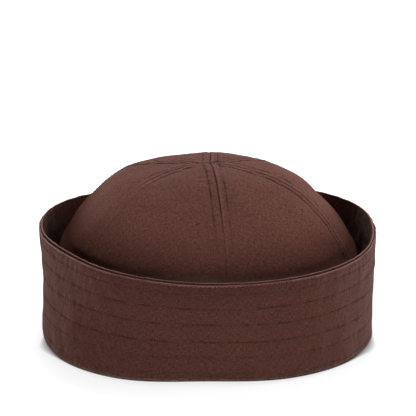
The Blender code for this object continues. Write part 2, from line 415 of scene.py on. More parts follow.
def run_along(radius, height):
    """Distance along each section line, averaged over the bearings."""
    steps = np.hypot(np.diff(radius, axis=1), np.diff(height, axis=1)).mean(0)
    return np.concatenate([[0], np.cumsum(steps)])


def ring_piece(name, radius, height, relief, back_relief, shade_and_wear, back_lines):
    """Band of cloth round the cap from its sections, a row of points for each bearing."""
    loops, kept, shades_and_wear = both_faces(radius, height, relief, back_relief, shade_and_wear, back_lines)
    points = place_at(around, loops[..., 0], loops[..., 1]) - PLAN_CENTRE
    run = run_along(radius, height)
    across = np.concatenate([run, run[kept] + PLY, [-PLY]])
    along = np.arange(COLUMNS + 1) / COLUMNS * girth
    flat = np.stack(np.meshgrid(along, across, indexing="ij"), -1)
    return cloth_mesh(name, points, flat, ring=True, shade_and_wear=shades_and_wear), run[-1]


def layer_relief(radius, height, drops, side):
    """(points, relief, painted shade and wear, slow waves) of a layer whose last lines of points are
    the wall's.
    """
    points = place_at(around, radius, height)
    not_wall = np.full((COLUMNS, radius.shape[1] - drops.shape[1]), FAR)
    relief, shade_and_wear = sewn_relief(points, around, np.concatenate([not_wall, drops], axis=1), side)
    return points, relief, shade_and_wear, slow_waves(points, side)


# %% Section of the outer layer
FOLD_STEPS = 7
WALL_BEND_END = 355  # degrees, just short of the wall's own first point
HEM_LINES = 5


def bend(radius, height, size, start, end, steps):
    """Radii and heights round a bend of the fold, for all bearings at once."""
    turn = np.radians(np.linspace(start, end, steps))
    return radius[:, None] + size * np.cos(turn), height[:, None] + size * np.sin(turn)


fold = brim_value("fold", bearings)
lift = front_lift(bearings)
hem = fold - FOLD_WIDTH
hem_share = np.linspace(0, 1, HEM_LINES)[:-1]
hem_radius = hem[:, None] - HEM_LEAN * (1 - hem_share)
hem_height = lift[:, None] + HEM_HEIGHT + (HEM_BEND - HEM_HEIGHT) * hem_share
hem_bend = bend(hem + HEM_BEND, lift + HEM_BEND, HEM_BEND, 180, 270, FOLD_STEPS)
wall_bend = bend(fold - WALL_BEND, lift + WALL_BEND, WALL_BEND, 270, WALL_BEND_END, FOLD_STEPS)
outer_drops = drops_down_wall(OUTER_EDGE_DROP, 0, CHANNEL_LINES)[:, ::-1]
wall = wall_point(around, share_at(around, outer_drops))
outer_radius = np.concatenate([hem_radius, hem_bend[0], wall_bend[0], wall[0]], axis=1)
outer_height = np.concatenate([hem_height, hem_bend[1], wall_bend[1], wall[1]], axis=1)
print("lines of points across the outer layer:", outer_radius.shape[1])

# %% Make the outer layer
BACK_LINES = 20  # the back of the cloth is hidden, so it needs few lines
SETTLE = 0.004  # relief fades out over this height from the fold's underside
EDGE_ROUNDING = np.array([0.00062, 0.00026, 0.00008])  # of the last lines of points, from the edge
EDGE_WEAR_AND_HIGHLIGHT = np.array([4.5, 3.6, 1.4])  # and how pale they are painted: partly rubbed wear, partly painted highlight
FOLD_CONTACT_SHADE = 1.6  # painted shade: the fold is darker where it meets the table, as its contact shadow
FOLD_CONTACT_SHADE_HEIGHT = 0.0022

_, relief, shade_and_wear, waves = layer_relief(outer_radius, outer_height, outer_drops, side=1)
above = outer_height - lift[:, None]
bend_start = outer_radius.shape[1] - outer_drops.shape[1] - FOLD_STEPS
settled = np.clip(above / SETTLE, 0, 1) * (np.arange(outer_radius.shape[1]) >= bend_start)
relief = relief * settled
waves = waves * settled
edge = slice(-1, -1 - len(EDGE_ROUNDING), -1)
relief[:, edge] -= EDGE_ROUNDING
# painted pale edge, partly wear and partly painted highlight
shade_and_wear[:, edge] = -EDGE_WEAR_AND_HIGHLIGHT
# painted contact shade where the fold meets the table
shade_and_wear += FOLD_CONTACT_SHADE * bump(above, FOLD_CONTACT_SHADE_HEIGHT)
brim, brim_run = ring_piece(
    "brim_cloth", outer_radius, outer_height, relief, waves, shade_and_wear, BACK_LINES
)
print(f"cloth across the brim: {1000 * brim_run:.1f} mm")

# %% [markdown]
# ## The facing
# The same band again, seen from inside: it starts outside, just above the outer layer, goes over the
# edge in a half circle and down the inside of the wall to the fold.  The rows of stitches come
# through here too.  Its distance from the outer layer is measured square to the cloth, so it takes
# the lean and the turn of the wall into account.  Where the two layers meet, the crevice has painted
# shade, and only the crest of the roll above it is painted pale, as a thin line, partly wear and
# partly a painted highlight.

# %% Section of the facing
ROLL = 0.00078  # outer radius of the rolled edge, which stays behind the outer layer
ROLL_DROP = 0.0009  # it lies this far below the wall's full height
ROLL_TURNS = np.concatenate([
    np.linspace(-60, 40, 6), np.linspace(50, 100, 6), np.linspace(115, 180, 5)
])  # degrees round the roll, from outside to inside, closest together over its crest
ROLL_STEPS = len(ROLL_TURNS)
ROLL_SHADE_AND_WEAR = ((0, 0.7), (60, 0.7), (72, -5.0), (100, -4.8), (110, 0.3))  # degrees and painted value: shade in the crevice, pale wear and highlight on the crest
FACING_LINES = 8
FACING_END = 0.0012  # it ends this far above the fold's bend
SMALL_TURN, SMALL_SHARE = 1, 0.05  # degrees round the cap, and a share of the wall's height


def slant(bearing, share):
    """How many times further it is through the wall along the radius than straight through it."""
    radius, height = wall_point(bearing, share)
    beside, _ = wall_point(bearing + SMALL_TURN, share)
    below, height_below = wall_point(bearing, share - SMALL_SHARE)
    turned = (beside - radius) / (radius * math.radians(SMALL_TURN))
    return np.sqrt(1 + turned**2 + ((radius - below) / (height - height_below)) ** 2)


edge_radius, edge_height = wall_point(around, 1)
inner_drops = drops_down_wall(ROLL_DROP + ROLL, FACING_END, FACING_LINES)[:, 1:]
shares = share_at(around, inner_drops)
inside = wall_point(around, shares)[0] - WALL_THICKNESS * slant(around, shares)
roll_middle = edge_radius - (WALL_THICKNESS - ROLL) * slant(around, 1.0)
roll_radius = roll_middle + ROLL * slant(around, 1.0) * np.cos(np.radians(ROLL_TURNS))
roll_height = edge_height - ROLL_DROP - ROLL + ROLL * np.sin(np.radians(ROLL_TURNS))
facing_radius = np.concatenate([roll_radius, inside], axis=1)
facing_height = np.concatenate([roll_height, wall_point(around, shares)[1]], axis=1)
print("lines of points across the facing:", facing_radius.shape[1])

# %% Make the facing
FACING_BACK_LINES = 16
ROLL_WAVE = Ripple(height=0.00007, size=0.004, seed=61)

points, relief, shade_and_wear, waves = layer_relief(facing_radius, facing_height, inner_drops, side=-1)
relief[:, :ROLL_STEPS] = ripples(points, ROLL_WAVE)[:, :ROLL_STEPS]
# painted shade in the crevice and a painted pale crest, partly wear and partly highlight
shade_and_wear[:, :ROLL_STEPS] = np.interp(ROLL_TURNS, *zip(*ROLL_SHADE_AND_WEAR))
waves[:, :ROLL_STEPS] = 0
facing, facing_run = ring_piece(
    "facing_cloth", facing_radius, facing_height, relief, waves, shade_and_wear, FACING_BACK_LINES
)
print(f"cloth across the facing: {1000 * facing_run:.1f} mm")

# %% [markdown]
# ## The crown
# Six wedges of canvas are sewn into a dome.  At its foot the dome takes the plan of the fold that it
# stands in, and higher up it is round.  Where the brim leans in, it presses the crown in a little.
# A place on the crown is a bearing and a row number of the table, from 0 at the apex to 6 at the
# foot.  Six straight seams would look machined, so a third table says how far each one strays from
# its even place, and where the ridge beside it flattens out.

# %% Crown surface, before it is sewn
CROWN_CLOTH = 0.0012
CROWN_INSET = 0.0064  # from the fold's outer face in to the crown's foot
PRESSED_SHARE = 0.25
PRESSED_ROWS = (3, 6)
APEX_SHIFT = 0.0027  # the point where the seams meet lies this far to the right of the axis
FIRST_SEAM = -84  # bearing of the front seam
PANEL_NAMES = ("front_right", "right", "back_right", "back_left", "left", "front_left")
Seam = namedtuple("Seam", "lean fades low")
SEAMS = (
    # lean: how many degrees the seam strays from its even place at rows 0, 2, 4 and 6.
    # fades: the row from where it flattens.  low: what is left of its relief one row further down.
    Seam((3.5, 2.8, 2.2, 0), 1.85, 0.20),
    Seam((4, 6, 2.5, 0), 4.0, 0.80),
    Seam((-3, 3.5, 0, 0), 2.5, 0.60),
    Seam((-11, -6, 0, 0), 2.5, 0.60),
    Seam((-12, -1, 0, 0), 1.4, 0.25),
    Seam((-22, -2, 0, 0), 0.9, 0.15),
)
LEAN_ROWS = 2  # rows of the crown's table from one lean to the next
PANEL_ANGLE = 360 / len(PANEL_NAMES)
CROWN_FOOT = len(CROWN_ROWS) - 1
MEAN_FOOT = float(np.mean([row.fold for row in BRIM_ROWS])) - CROWN_INSET


def crown_radius(bearing, place):
    """Radius of the crown: round at the top, and the plan of the fold at the foot."""
    reach = crown_value("reach", place)
    foot = brim_value("fold", bearing) - CROWN_INSET
    lean = np.maximum(0, brim_value("fold", bearing) - brim_value("rim", bearing))
    first, last = PRESSED_ROWS
    share = np.clip((place - first) / (last - first), 0, 1)
    pressed = PRESSED_SHARE * lean * np.sin(math.pi * share) ** 2
    return reach * (MEAN_FOOT + (foot - MEAN_FOOT) * reach**3) - pressed


def seam_bearing(index, place):
    """Bearing of a seam at any place.  Seam 0 is the front one, and they count anticlockwise."""
    lean = SEAMS[index % len(SEAMS)].lean
    values = np.array(lean[:1] + lean + lean[-1:])
    row = np.clip(np.floor(place / LEAN_ROWS), 0, len(lean) - 2).astype(int)
    stray = smooth_through(values, row + 1, place / LEAN_ROWS - row)
    return FIRST_SEAM + index * PANEL_ANGLE + stray


def foot_share(place):
    """0 on the crown, rising to 1 at its foot over the last band of rows."""
    return np.maximum(0, place - (CROWN_FOOT - 1))


def plain_crown(bearing, place):
    """Points of the crown's surface as it would be in one piece, with no seams."""
    right, back, left, front = (crown_value(c, place) for c in ("right", "back", "left", "front"))
    turn = np.radians(bearing)
    height = (
        (right + back + left + front) / 4
        + (right - left) / 2 * np.cos(turn)
        + (back - front) / 2 * np.sin(turn)
        + (right + left - back - front) / 4 * np.cos(2 * turn)
        + front_lift(bearing) * foot_share(place)
    )
    shift = APEX_SHIFT * (1 - crown_value("reach", place)) ** 2
    return place_at(bearing, crown_radius(bearing, place), height, shift)


def outward(bearing, place):
    """Unit normals of the plain crown, from its slopes along and across."""
    tiny = 1e-3
    down = plain_crown(bearing, place + tiny) - plain_crown(bearing, place - tiny)
    round_it = plain_crown(bearing + tiny, place) - plain_crown(bearing - tiny, place)
    return unit(np.cross(down, round_it))


print("crown height, mm:", round(1000 * float(plain_crown(np.array(0.0), np.array(0.0))[2]), 1))

# %% [markdown]
# ## How a seam shapes the crown
# Two panels meet edge to edge, and each turns down into the seam, which leaves a dark line: partly
# a dark joint and partly painted shade in the groove.  The spare edges lie underneath, spread to both
# sides, and lift the cloth into a low ridge as far as the row of topstitching on each side of the
# seam.  The front and back seams are one seam, sewn last across the whole crown, so its rows of
# stitches run on through the top and the other seams stop at them.  The proud edge of one panel along
# each seam is painted pale, partly wear and partly a painted highlight on its lit side, and a band at
# the front, a little below the height of the brim's edge, is painted lighter as painted light there.

# %% Sizes of the crown's relief
SEAM_DEPTH = 0.0007
SEAM_ROUND = 0.00040
SEAM_DARK = 1.1  # how dark a seam's groove is painted: partly a dark joint, partly painted shade
ROW_DARK = 1.4  # and the grooves of the rows of stitches beside it, painted the same way
SEAM_CREST = 0.0013  # from the seam to the panel's edge that stands proud and is painted pale: partly wear, partly highlight
CREST_ROUND = 0.0006
CREST_WEAR_AND_HIGHLIGHT = 0.9
RIM_BAND_LIGHT = 2.5  # painted light: a paler band that lifts the shade on the crown at the front
RIM_BELOW = 0.0065  # it lies this far below the edge
RIM_SPREAD = 0.0026
RIM_POWER = 3  # how fast it fades from the front round to the sides
SEAM_DIP = 0.00035  # how far a seam is pulled in from the fullness of its panels
SEAM_DIP_REACH = 0.007
TOPSTITCH_AWAY = 0.0045  # from the seam to the stitches beside it
RIDGE = 0.00030
RIDGE_EDGE = 0.0003  # how softly the ridge ends at the stitches
TOP_GROOVE = Groove(depth=0.00034, width=0.00040, hole=0.0)
CROWN_PUCKERS = Ripple(height=0.00016, size=0.0032, seed=71)
CROWN_PUCKER_REACH = 0.0045
CROWN_SLACK = Ripple(height=0.00016, size=0.0110, seed=72)
CROWN_WAVE = Ripple(height=0.00050, size=0.036, seed=73)
print(f"the ridges beside a seam are {2000 * TOPSTITCH_AWAY:.0f} mm across together")

# %% Distances to the seams
WHOLE_SEAM = (0, 3)  # the front and back seams, which are sewn as one
OTHER_SEAMS = (1, 2, 4, 5)
FRONT_SEAMS = (0, 1, 5)  # those on the front half, where a growing bearing runs to the right


def seam_distances(bearing, place):
    """Distances to the seam across the whole crown and to the nearest other one, and more.

    The third value is how much of its relief the nearest seam has, and the fourth is its side: 1
    to the right of the seam, seen from the front, and -1 to the left.
    """
    radius = crown_radius(bearing, place)
    distances, reliefs, sides = [], [], []
    for index, seam in enumerate(SEAMS):
        away = np.radians(bearing - seam_bearing(index, place))
        distances.append(np.where(np.cos(away) > 0, radius * np.abs(np.sin(away)), FAR))
        fading = np.clip(place - seam.fades, 0, 1)
        reliefs.append(1 - (1 - seam.low) * fading + 0 * radius)
        facing_us = 1 if index in FRONT_SEAMS else -1
        sides.append(facing_us * np.sign(np.sin(away)) + 0 * radius)
    nearest = np.argmin(distances, axis=0)[None]
    relief, side = (np.take_along_axis(np.array(v), nearest, axis=0)[0] for v in (reliefs, sides))
    whole, others = (
        np.min([distances[index] for index in seams], axis=0) for seams in (WHOLE_SEAM, OTHER_SEAMS)
    )
    return whole, others, relief, side


all_round = np.linspace(0, 360, 1001)
for row in (1, 3, 5):
    whole, others, _, _ = seam_distances(all_round, row + 0 * all_round)
    print(f"row {row}: at most {1000 * np.minimum(whole, others).max():.1f} mm to a seam")

# %% Relief of the crown
def sewn_crown(bearing, place):
    """(outer face, painted shade and wear, inner face) of the crown with its seams, stitches and
    puckers.

    Both faces share the slow waves, and only the outer one has the small relief of the sewing.
    """
    points, normals = plain_crown(bearing, place), outward(bearing, place)
    across, others, shows, side = seam_distances(bearing, place)
    nearest = np.minimum(across, others)
    ridge = 1 / (1 + np.exp((nearest - TOPSTITCH_AWAY) / RIDGE_EDGE))
    past = others + np.where(across < TOPSTITCH_AWAY, FAR, 0)
    stitched = np.minimum(np.abs(across - TOPSTITCH_AWAY), np.abs(past - TOPSTITCH_AWAY))
    groove = bump(stitched, TOP_GROOVE.width) * tension(points)
    sewn = (
        RIDGE * ridge
        - SEAM_DIP * bump(nearest, SEAM_DIP_REACH)
        - SEAM_DEPTH * bump(nearest, SEAM_ROUND)
        - TOP_GROOVE.depth * groove
        + ripples(points, CROWN_PUCKERS) * bump(nearest - TOPSTITCH_AWAY, CROWN_PUCKER_REACH)
    )
    slack = ripples(points, CROWN_SLACK) + ripples(points, CROWN_WAVE)
    relief = (shows * sewn * (1 - foot_share(place)))[..., None] * normals
    waves = (slack * (1 - foot_share(place)))[..., None] * normals
    # painted shade in the grooves of the seam and of the stitches, partly dark joints
    shade_and_wear = np.maximum(ROW_DARK * groove, SEAM_DARK * bump(nearest, SEAM_ROUND))
    # painted pale crest on the lit side of each seam, partly wear and partly painted highlight
    shade_and_wear = shade_and_wear - CREST_WEAR_AND_HIGHLIGHT * bump(side * nearest - SEAM_CREST, CREST_ROUND)
    # painted light: a paler band at the front, below the height of the brim's edge, lifting its shade
    painted_rim_light = bump(points[..., 2] - brim_value("top", bearing) + RIM_BELOW, RIM_SPREAD)
    painted_rim_light = painted_rim_light * np.maximum(0, -np.sin(np.radians(bearing))) ** RIM_POWER
    shade_and_wear = shows * shade_and_wear - RIM_BAND_LIGHT * painted_rim_light
    return points + waves + relief, shade_and_wear, points + waves - CROWN_CLOTH * normals


sample = (all_round, 3 + 0 * all_round)
lifted = ((sewn_crown(*sample)[0] - plain_crown(*sample)) * outward(*sample)).sum(-1)
print(f"relief half way down the crown: {1000 * lifted.min():.2f} to {1000 * lifted.max():.2f} mm")

# %% [markdown]
# ## Cutting the panels
# Each panel is a stack of loops from its point at the apex to its foot.  A loop crosses the front of
# the cloth from seam to seam and comes back along its inside.  Near a seam the points keep a fixed
# distance from it, close together, so that the ridge and the groove stay sharp all the way down.

# %% Make the panels
EDGE_STEPS = np.array([0, 0.25, 0.5, 0.8, 1.2, 1.7, 2.3, 2.9, 3.4, 3.8, 4.15, 4.5, 4.85, 5.2, 5.7,
                       6.4, 7.4, 8.6, 10.0]) / 1000  # distances of lines of points from the seam
EDGE_FIT = 1.3  # a panel narrower than this times the last of them gets them closer together
MIDDLE_LINES = 20
TIP_PLACE = 0.006
BAND_STEPS = (40, 24, 22, 20, 16, 9)  # rows of points in each band of the table
TIP_GATHER = 1.5  # the first band's rows crowd towards the apex


def panel_places():
    """Row numbers of a panel's loops, from the apex down."""
    places = []
    for band, steps in enumerate(BAND_STEPS):
        share = np.arange(steps) / steps
        places.append(band + (share**TIP_GATHER if band == 0 else share))
    return np.maximum(np.concatenate(places + [[CROWN_FOOT]]), TIP_PLACE)


def crown_panel(index):
    """One wedge of canvas, with its own flat map: across from its middle, and down from its tip."""
    places = panel_places()[:, None]
    radius = crown_value("reach", places) * MEAN_FOOT
    first = seam_bearing(index, places)
    angle = seam_bearing(index + 1, places) - first
    half_width = radius * np.radians(angle / 2)
    near = EDGE_STEPS * np.minimum(1, half_width / (EDGE_FIT * EDGE_STEPS[-1]))
    share = np.linspace(0, 1, MIDDLE_LINES + 1)[1:]
    middle = near[:, -1:] + (half_width - near[:, -1:]) * share
    half_way = np.degrees(np.concatenate([near, middle], axis=1) / radius)
    across = np.concatenate([half_way, angle - half_way[:, -2::-1]], axis=1)
    bearing = first + across
    front, shade_and_wear, back = sewn_crown(bearing, places + 0 * bearing)
    points = np.concatenate([front, back[:, ::-1]], axis=1) - PLAN_CENTRE
    shades_and_wear = np.concatenate([shade_and_wear, 0 * shade_and_wear], axis=1)
    run = np.linalg.norm(np.diff(front[:, front.shape[1] // 2], axis=0), axis=-1)
    run = np.concatenate([[0], np.cumsum(run)])[:, None]
    width = radius * np.radians(across - angle / 2)
    flat = np.stack([width, run + 0 * width], -1)
    flat = np.concatenate([flat, flat[:, ::-1], flat[:, :1]], axis=1)
    name = "panel_" + PANEL_NAMES[index]
    return cloth_mesh(name, points, flat, ring=False, shade_and_wear=shades_and_wear), run[-1, 0]


panels = []
for index in range(len(PANEL_NAMES)):
    panel, panel_run = crown_panel(index)
    panels.append(panel)
print(f"length of a panel from apex to foot: {1000 * panel_run:.1f} mm")

# %% [markdown]
# ## One helper for node trees
# Blender's node trees are long to write out by hand.  This class holds one output of a node.
# Arithmetic on it adds a Math node, so a pattern reads like the formula that it is, and its method
# node adds any other kind.  It serves the stitches' geometry and the materials alike.

# %% A wire between nodes
class Wire:
    """One output of a node in a tree, or no output yet when a tree is begun."""

    def __init__(self, tree, socket=None):
        self.tree = tree
        self.socket = socket

    def node(self, kind, settings=None, inputs=None, output=0):
        """Adds a node, sets it up, then fills its sockets with values or wires."""
        made = self.tree.nodes.new(kind)
        for name, value in (settings or {}).items():
            setattr(made, name, value)
        for name, value in (inputs or {}).items():
            if isinstance(value, Wire):
                self.tree.links.new(value.socket, made.inputs[name])
            else:
                made.inputs[name].default_value = value
        return Wire(self.tree, made.outputs[output] if made.outputs else None)

    def math(self, operation, *values):
        return self.node("ShaderNodeMath", {"operation": operation}, dict(enumerate(values)))

    def sine(self):
        return self.math("SINE", self)

    def size(self):
        return self.math("ABSOLUTE", self)

    def larger(self, value):
        return self.math("MAXIMUM", self, value)

    def scaled(self, vector, scale):
        """A vector or colour times a number, each of them a wire or a value."""
        return self.node("ShaderNodeVectorMath", {"operation": "SCALE"},
                         {"Vector": vector, "Scale": scale})

    def vector(self, x=0.0, y=0.0, z=0.0):
        """A vector from three numbers, each of them a wire or a value."""
        return self.node("ShaderNodeCombineXYZ", inputs={"X": x, "Y": y, "Z": z})

    def parts(self):
        """The three numbers of this vector."""
        split = self.node("ShaderNodeSeparateXYZ", inputs={"Vector": self})
        return [split.other(axis) for axis in "XYZ"]

    def attribute(self, name, output="Fac"):
        """What the mesh stores under this name."""
        return self.node("ShaderNodeAttribute", {"attribute_name": name}, output=output)

    def other(self, output):
        """Another output of the same node."""
        return Wire(self.tree, self.socket.node.outputs[output])

    def __add__(self, value):
        return self.math("ADD", self, value)

    def __sub__(self, value):
        return self.math("SUBTRACT", self, value)

    def __rsub__(self, value):
        return self.math("SUBTRACT", value, self)

    def __mul__(self, value):
        return self.math("MULTIPLY", self, value)

    __radd__ = __add__
    __rmul__ = __mul__


def empty_material(name):
    """(material, first wire) of a material with no nodes yet."""
    made = bpy.data.materials.new(name)
    made.use_nodes = True
    made.node_tree.nodes.clear()
    return made, Wire(made.node_tree)


def finish_material(made, shader):
    """The material, once its shader is wired to its output."""
    shader.node("ShaderNodeOutputMaterial", inputs={"Surface": shader})
    print(f"{made.name}: {len(made.node_tree.nodes)} nodes")
    return made


# %% [markdown]
# ## The stitches, with Geometry Nodes
# A stitch is a short arch of thread that comes up at one needle hole and goes down at the next.
# There are thousands, alike but for small differences, and that is what Geometry Nodes do well.  A
# cloud of points says where they are, and each point carries two directions, out of the cloth and
# along the row.  The tree puts an arch on each point, turns it to the two directions, varies its
# size a little, and turns the copies into a real mesh.

# %% One stitch
THREAD = 0.00040  # thickness of the thread
STITCH_SPAN = 0.84  # length of the thread that shows, as a share of the step
STITCH_RISE = 0.00012  # the middle of the thread above the floor of its groove
STITCH_SINK = 0.00022  # its two ends below it
ARCH_STEPS = 4
THREAD_SIDES = 6
UNEVEN = 0.07  # how far a stitch strays in size, as a share, and in direction, in radians


def thread_arch(given):
    """A tube of thread along a low arch, whose ends go down into the cloth."""
    length, rise, sink = (given.other(name) for name in ("Length", "Rise", "Sink"))
    low = sink * -1
    arch = given.node("GeometryNodeCurveQuadraticBezier", inputs={
        "Resolution": ARCH_STEPS, "Start": given.vector(x=length * -0.5, z=low),
        "Middle": given.vector(z=rise * 2 + sink), "End": given.vector(x=length * 0.5, z=low)})
    ring = given.node("GeometryNodeCurvePrimitiveCircle", {"mode": "RADIUS"}, {
        "Resolution": THREAD_SIDES, "Radius": given.other("Thickness") * 0.5})
    return given.node("GeometryNodeCurveToMesh", inputs={
        "Curve": arch, "Profile Curve": ring, "Fill Caps": True})


def arch_turn(given, sway):
    """Rotation that stands an arch out of the cloth and along its row, with a little sway."""
    def direction(name):
        return given.node("GeometryNodeInputNamedAttribute", {"data_type": "FLOAT_VECTOR"},
                          {"Name": name})

    upright = given.node("FunctionNodeAlignRotationToVector", {"axis": "Z"},
                         {"Vector": direction("out")})
    turned = given.node("FunctionNodeAlignRotationToVector", {"axis": "X", "pivot_axis": "Z"},
                        {"Rotation": upright, "Vector": direction("along")})
    swayed = given.node("FunctionNodeEulerToRotation", inputs={"Euler": given.vector(z=sway)})
    return given.node("FunctionNodeRotateRotation", {"rotation_space": "LOCAL"},
                      {"Rotation": turned, "Rotate By": swayed})


print(f"thread: {1000 * THREAD:.2f} mm, {2 * (ARCH_STEPS * THREAD_SIDES + THREAD_SIDES - 2)} triangles")

# %% Build the tree of a row of stitches
def stitch_tree():
    """Geometry Nodes group that sews an arch of thread on each point."""
    tree = bpy.data.node_groups.new("stitches", "GeometryNodeTree")
    socket = tree.interface.new_socket
    socket("Places", in_out="INPUT", socket_type="NodeSocketGeometry")
    for name in ("Length", "Thickness", "Rise", "Sink", "Uneven"):
        socket(name, in_out="INPUT", socket_type="NodeSocketFloat")
    socket("Seed", in_out="INPUT", socket_type="NodeSocketInt")
    socket("Thread", in_out="INPUT", socket_type="NodeSocketMaterial")
    socket("Stitches", in_out="OUTPUT", socket_type="NodeSocketGeometry")
    given = Wire(tree).node("NodeGroupInput")
    uneven, seed = given.other("Uneven"), given.other("Seed")

    def random(low, high, draw):
        return given.node("FunctionNodeRandomValue", {"data_type": "FLOAT"}, {
            2: low, 3: high, "Seed": seed + draw}, output=1)

    points = given.node("GeometryNodeMeshToPoints", inputs={"Mesh": given.other("Places")})
    sewn = given.node("GeometryNodeInstanceOnPoints", inputs={
        "Points": points, "Instance": thread_arch(given),
        "Rotation": arch_turn(given, random(uneven * -1, uneven, draw=1)),
        "Scale": random(1 - uneven, 1 + uneven, draw=2)})
    toned = given.node("GeometryNodeStoreNamedAttribute", {
        "data_type": "FLOAT", "domain": "INSTANCE"}, {
        "Geometry": sewn, "Name": "tone", "Value": random(0.0, 1.0, draw=3)})
    real = given.node("GeometryNodeRealizeInstances", inputs={"Geometry": toned})
    smooth = given.node("GeometryNodeSetShadeSmooth", inputs={"Geometry": real})
    dyed = given.node("GeometryNodeSetMaterial", inputs={
        "Geometry": smooth, "Material": given.other("Thread")})
    given.node("NodeGroupOutput", inputs={"Stitches": dyed})
    return tree


STITCHES = stitch_tree()
print("nodes in the stitches' tree:", len(STITCHES.nodes))

# %% [markdown]
# ## Sewing a seam
# The points are set in the script, because only it knows where the rows of the brim and of the crown
# run.  The modifier's inputs are reached by the identifiers of the sockets, and they are set before
# Blender looks at the object for the first time.  The finished mesh is then taken off the modifier.

# %% Sew stitches on points
def sew(name, points, out, along, shade_and_wear, step, thread, seed):
    """Piece of thread with one stitch on each point, square to out and running along."""
    mesh = new_mesh(name + "_places", points)
    store(mesh, "out", out, "FLOAT_VECTOR", "vector")
    store(mesh, "along", along, "FLOAT_VECTOR", "vector")
    store(mesh, "shade_and_wear", shade_and_wear)
    places = add_object(name + "_places", mesh)
    modifier = places.modifiers.new("stitches", "NODES")
    modifier.node_group = STITCHES
    values = {"Length": step * STITCH_SPAN, "Thickness": THREAD, "Rise": STITCH_RISE,
              "Sink": STITCH_SINK, "Uneven": UNEVEN, "Seed": seed, "Thread": thread}
    for item in STITCHES.interface.items_tree:
        if item.name in values:
            modifier[item.identifier] = values[item.name]
    graph = bpy.context.evaluated_depsgraph_get()
    sewn = bpy.data.meshes.new_from_object(places.evaluated_get(graph))
    bpy.data.objects.remove(places)
    print(f"{name}: {len(points)} stitches, {len(sewn.polygons)} faces")
    return add_object(name, sewn)


# %% [markdown]
# ## The stitches round the brim
# The thread shows on both faces of the brim, because a lockstitch looks the same from either side.
# A stitch spans two needle holes of its groove, the same holes that the cloth's relief has, so each
# arch starts and ends at a dip.  Its direction out of the cloth comes from two tiny steps along the
# wall, one round the cap and one down, which also works where the wall leans or turns.

# %% Where the brim's stitches are
EDGE_THREAD_WEAR_AND_HIGHLIGHT = 1.2  # the thread along the free edge is painted pale: partly wear, partly painted highlight


def wall_place(bearing, drop, side):
    """Points on the brim's wall before it is sewn, on its outside or its inside."""
    share = share_at(bearing, drop)
    radius, height = wall_point(bearing, share)
    if side < 0:
        radius = radius - WALL_THICKNESS * slant(bearing, share)
    return place_at(bearing, radius, height)


def brim_stitches(side):
    """(points, out, along, painted shade and wear) of all rows round the brim, seen from outside or
    from inside.
    """
    parts = []
    for row in range(len(ROWS) + 1):
        hole = -row % COLUMNS_PER_STITCH
        column = hole + COLUMNS_PER_STITCH * (np.arange(STITCHES_ROUND) + 0.5)
        bearing = column * 360 / COLUMNS
        at_edge = row == len(ROWS)
        drop = 0 * bearing + EDGE_ROW.drop if at_edge else row_drop(row, bearing)
        points = wall_place(bearing, drop, side)
        tiny = 1e-4
        along = wall_place(bearing + tiny, drop, side) - points
        down = wall_place(bearing, drop + tiny, side) - points
        out = side * unit(np.cross(down, along))
        relief, _ = sewn_relief(points, bearing, drop, side)
        # painted shade for thread deep in its groove, and a pale edge thread: partly wear, partly
        # highlight
        shade_and_wear = tension(points) * (-EDGE_THREAD_WEAR_AND_HIGHLIGHT if at_edge else ROWS[row].shows)
        parts.append((points + relief[:, None] * out - PLAN_CENTRE, out, along, shade_and_wear))
    return [np.concatenate(column) for column in zip(*parts)]


outside, inside_wall = brim_stitches(side=1), brim_stitches(side=-1)
print("stitches round the brim:", len(outside[0]), "outside and", len(inside_wall[0]), "inside")

# %% [markdown]
# ## The stitches on the crown
# Two rows run beside each seam.  A line at a fixed distance from a seam is found by going that far
# across from each of 4,000 places down the seam.  Then it is measured, and the stitches are set at
# equal steps along it, so they keep their length where the seams stray.

# %% Where the crown's stitches are
CROWN_STEP = 0.0027
LINE_PLACES = 4000
LAST_PLACE = 5.85  # the stitches end this far down, where the brim's fold takes the cloth


def beside_seam(index, side, start):
    """Bearings and places of a line that runs beside a seam, down to the foot.

    It begins where it is further than start from the seam across the whole crown.
    """
    place = np.linspace(0.0, LAST_PLACE, LINE_PLACES)
    seam = seam_bearing(index, place)
    middle = crown_radius(seam, place)
    keep = middle > TOPSTITCH_AWAY
    place, seam, middle = place[keep], seam[keep], middle[keep]
    bearing = seam + side * np.degrees(np.arcsin(TOPSTITCH_AWAY / middle))
    across, _, _, _ = seam_distances(bearing, place)
    keep = across > start
    return bearing[keep], place[keep]


def stitch_line(bearing, place):
    """(points, out, along, painted shade and wear) of stitches at equal steps along a line on the
    crown.
    """
    points, _, _ = sewn_crown(bearing, place)
    out = outward(bearing, place)
    _, _, shows, _ = seam_distances(bearing, place)
    run = np.concatenate([[0], np.cumsum(np.linalg.norm(np.diff(points, axis=0), axis=1))])
    steps = np.arange(0.5, run[-1] / CROWN_STEP - 0.5) * CROWN_STEP

    def at(values, distance):
        return np.stack([np.interp(distance, run, column) for column in values.T], -1)

    along = at(points, steps + CROWN_STEP / 4) - at(points, steps - CROWN_STEP / 4)
    sewn = at(points, steps)
    # painted shade for thread that lies in its groove
    shade_and_wear = tension(sewn) * np.interp(steps, run, shows)
    return sewn - PLAN_CENTRE, at(out, steps), along, shade_and_wear


def crown_stitches():
    """The rows beside all six seams.  Those of the front seam run on over the top to the back."""
    parts = []
    front, back = WHOLE_SEAM
    for side in (-1, 1):
        halves = zip(beside_seam(front, side, 0), beside_seam(back, -side, 0))
        whole = (np.concatenate([up[::-1], down]) for up, down in halves)
        parts.append(stitch_line(*whole))
        for index in OTHER_SEAMS:
            parts.append(stitch_line(*beside_seam(index, side, TOPSTITCH_AWAY + THREAD)))
    return [np.concatenate(column) for column in zip(*parts)]


on_crown = crown_stitches()
print("stitches on the crown:", len(on_crown[0]))

